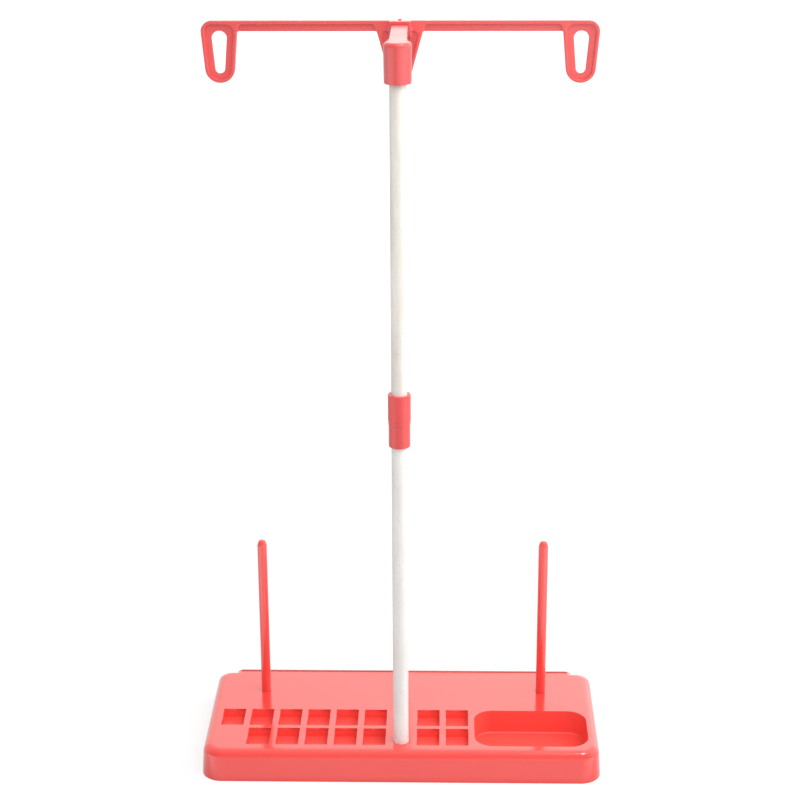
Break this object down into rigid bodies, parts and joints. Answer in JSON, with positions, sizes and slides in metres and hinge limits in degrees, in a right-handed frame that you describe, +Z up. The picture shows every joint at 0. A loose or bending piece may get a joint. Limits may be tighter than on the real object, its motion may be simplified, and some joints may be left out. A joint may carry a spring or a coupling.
{
  "type": "thread rack",
  "caption": "Free-standing thread rack: moulded base with bobbin slots and tray, spool pins, two-part mast and a guide bar with thread loops.",
  "frame": {"origin": "centre of the base's footprint on the table", "axes": "+Z up along the mast, +X to the right along the guide bar, +Y to the back, where the spool pins stand"},
  "size_m": [0.2096, 0.093, 0.3866],
  "materials": {
    "base_red": "glossy moulded polystyrene, warm red",
    "pin_red": "glossy moulded, deeper red",
    "tube_white": "white paint, satin, faintly mottled",
    "coupler_red": "satin moulded, red",
    "head_red": "satin moulded, red",
    "bar_red": "glossy moulded, red"
  },
  "bodies": {
    "base": {"base_shell": "base_red"},
    "pin_left": {"spool_pin_left": "pin_red"},
    "pin_right": {"spool_pin_right": "pin_red"},
    "pin_centre": {"spool_pin_centre": "pin_red"},
    "lower_tube": {"mast_tube_lower": "tube_white"},
    "coupler": {"mast_coupler": "coupler_red"},
    "upper_tube": {"mast_tube_upper": "tube_white"},
    "head": {"head_socket": "head_red", "guide_bar": "bar_red"}
  },
  "joints": [
    {"name": "pin_left_lift", "type": "slide", "parent": "base", "child": "pin_left", "axis": [0, 0, 1], "range_m": [0, 0.014]},
    {"name": "pin_right_lift", "type": "slide", "parent": "base", "child": "pin_right", "axis": [0, 0, 1], "range_m": [0, 0.014]},
    {"name": "pin_centre_lift", "type": "slide", "parent": "base", "child": "pin_centre", "axis": [0, 0, 1], "range_m": [0, 0.014]},
    {"name": "mast_lift", "type": "slide", "parent": "base", "child": "lower_tube", "axis": [0, 0, 1], "range_m": [0, 0.018]},
    {"name": "coupler_lift", "type": "slide", "parent": "lower_tube", "child": "coupler", "axis": [0, 0, 1], "range_m": [0, 0.016]},
    {"name": "upper_tube_lift", "type": "slide", "parent": "coupler", "child": "upper_tube", "axis": [0, 0, 1], "range_m": [0, 0.016]},
    {"name": "head_swivel", "type": "hinge", "parent": "upper_tube", "child": "head", "pos_m": [0, -0.0325, 0.3816], "axis": [0, 0, 1], "continuous": true}
  ]
}
